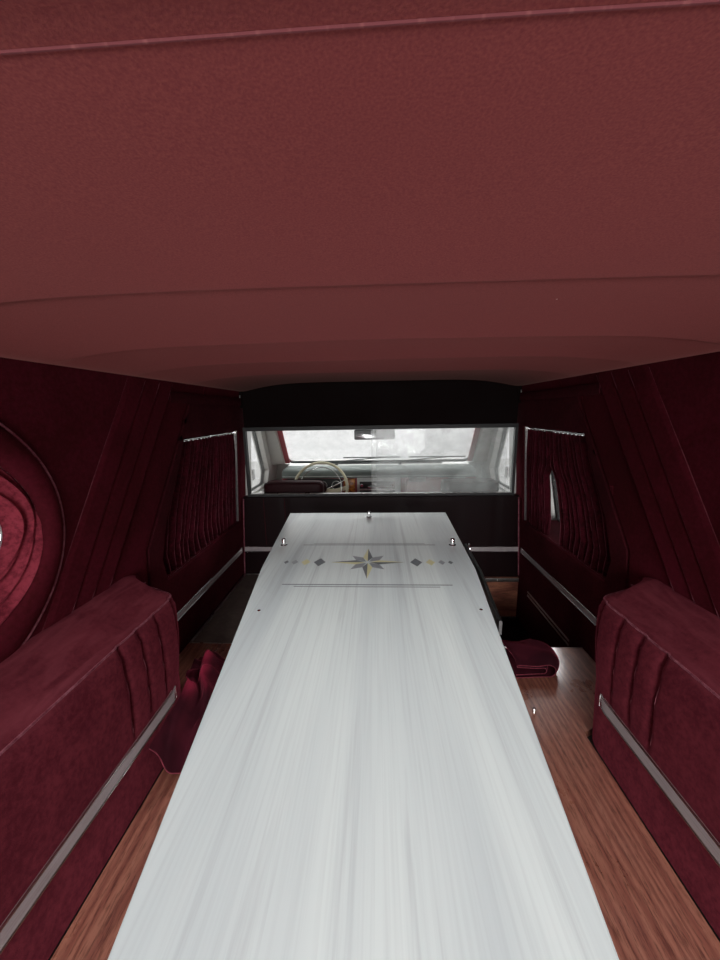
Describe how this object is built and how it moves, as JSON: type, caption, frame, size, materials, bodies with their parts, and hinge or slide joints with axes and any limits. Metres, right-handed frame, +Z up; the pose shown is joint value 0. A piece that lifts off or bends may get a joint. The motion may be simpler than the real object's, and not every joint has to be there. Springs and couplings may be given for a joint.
{
  "type": "hearse body section",
  "caption": "Trimmed rear body and cab of a hearse: casket compartment with velvet walls, curtained doors, partition, casket table, dash and steering wheel.",
  "frame": {"origin": "middle of the whole outline, with the rear door standing open, on the plane of the sills' undersides", "axes": "+X to the vehicle's right, +Y forward along the body, +Z up"},
  "size_m": [2.2, 5.354, 1.497],
  "materials": {
    "paint_white": "gloss",
    "headliner_cloth": "napped",
    "velvet": "velvet",
    "glass": "clear",
    "bright_metal": "bright",
    "underbody_black": "satin",
    "wood_laminate": "satin",
    "floor_covering": "matt",
    "white_board": "whitewashed",
    "seat_cloth": "cloth",
    "dash_vinyl": "grained",
    "wheel_ivory": "smooth"
  },
  "bodies": {
    "body": {"roof_panel": "paint_white", "body_side_right": "paint_white", "body_side_left": "paint_white", "rear_frame": "paint_white", "cowl": "paint_white", "headliner": "headliner_cloth", "wall_trim_right": "velvet", "wall_trim_left": "velvet", "oval_surrounds": "velvet", "oval_curtains": "velvet", "wheelhouse_box_right": "velvet", "wheelhouse_box_left": "velvet", "partition_panel": "velvet", "partition_header": "velvet", "cover_cloth_left": "velvet", "cover_cloth_right": "velvet", "oval_glass": "glass", "partition_glass": "glass", "windscreen": "glass", "deck_edge_strip": "bright_metal", "box_strips": "bright_metal", "partition_strips": "bright_metal", "glass_channels": "bright_metal", "bier_pins": "bright_metal", "floor_pan": "underbody_black", "table_frame": "underbody_black", "steering_column": "underbody_black", "rear_deck": "wood_laminate", "well_panel": "wood_laminate", "floor_locker": "floor_covering", "left_floor_panel": "floor_covering", "table_board": "white_board", "front_seat": "seat_cloth", "headrests": "seat_cloth", "dash": "dash_vinyl", "cab_mirror": "dash_vinyl"},
    "side_door_right": {"side_door_right": "paint_white", "side_door_trim_right": "velvet", "side_door_glass_right": "glass", "side_door_curtain_right": "velvet", "side_door_bright_right": "bright_metal"},
    "side_door_left": {"side_door_left": "paint_white", "side_door_trim_left": "velvet", "side_door_glass_left": "glass", "side_door_curtain_left": "velvet", "side_door_bright_left": "bright_metal"},
    "front_door_right": {"front_door_right": "paint_white", "front_door_glass_right": "glass", "door_mirror_right": "bright_metal"},
    "front_door_left": {"front_door_left": "paint_white", "front_door_glass_left": "glass", "door_mirror_left": "bright_metal"},
    "rear_door": {"rear_door": "paint_white", "rear_door_trim": "velvet", "rear_door_glass": "glass", "rear_door_handle": "bright_metal"},
    "steering_wheel": {"steering_wheel": "wheel_ivory"}
  },
  "joints": [
    {"name": "side_door_right_hinge", "type": "hinge", "parent": "body", "child": "side_door_right", "pos_m": [0.938, 1.366, 0.42], "axis": [0, 0, 1], "range_deg": [0, 68]},
    {"name": "front_door_right_hinge", "type": "hinge", "parent": "body", "child": "front_door_right", "pos_m": [0.938, 2.431, 0.42], "axis": [0, 0, 1], "range_deg": [0, 65]},
    {"name": "side_door_left_hinge", "type": "hinge", "parent": "body", "child": "side_door_left", "pos_m": [-0.938, 1.366, 0.42], "axis": [0, 0, -1], "range_deg": [0, 68]},
    {"name": "front_door_left_hinge", "type": "hinge", "parent": "body", "child": "front_door_left", "pos_m": [-0.938, 2.431, 0.42], "axis": [0, 0, -1], "range_deg": [0, 65]},
    {"name": "rear_door_hinge", "type": "hinge", "parent": "body", "child": "rear_door", "pos_m": [-0.612, -1.461, 0.845], "axis": [0, 0, 1], "range_deg": [-10, 90]},
    {"name": "steering", "type": "hinge", "parent": "body", "child": "steering_wheel", "pos_m": [-0.398, 1.917, 0.764], "axis": [0, 0.891, -0.454], "range_deg": [-540, 540]}
  ]
}
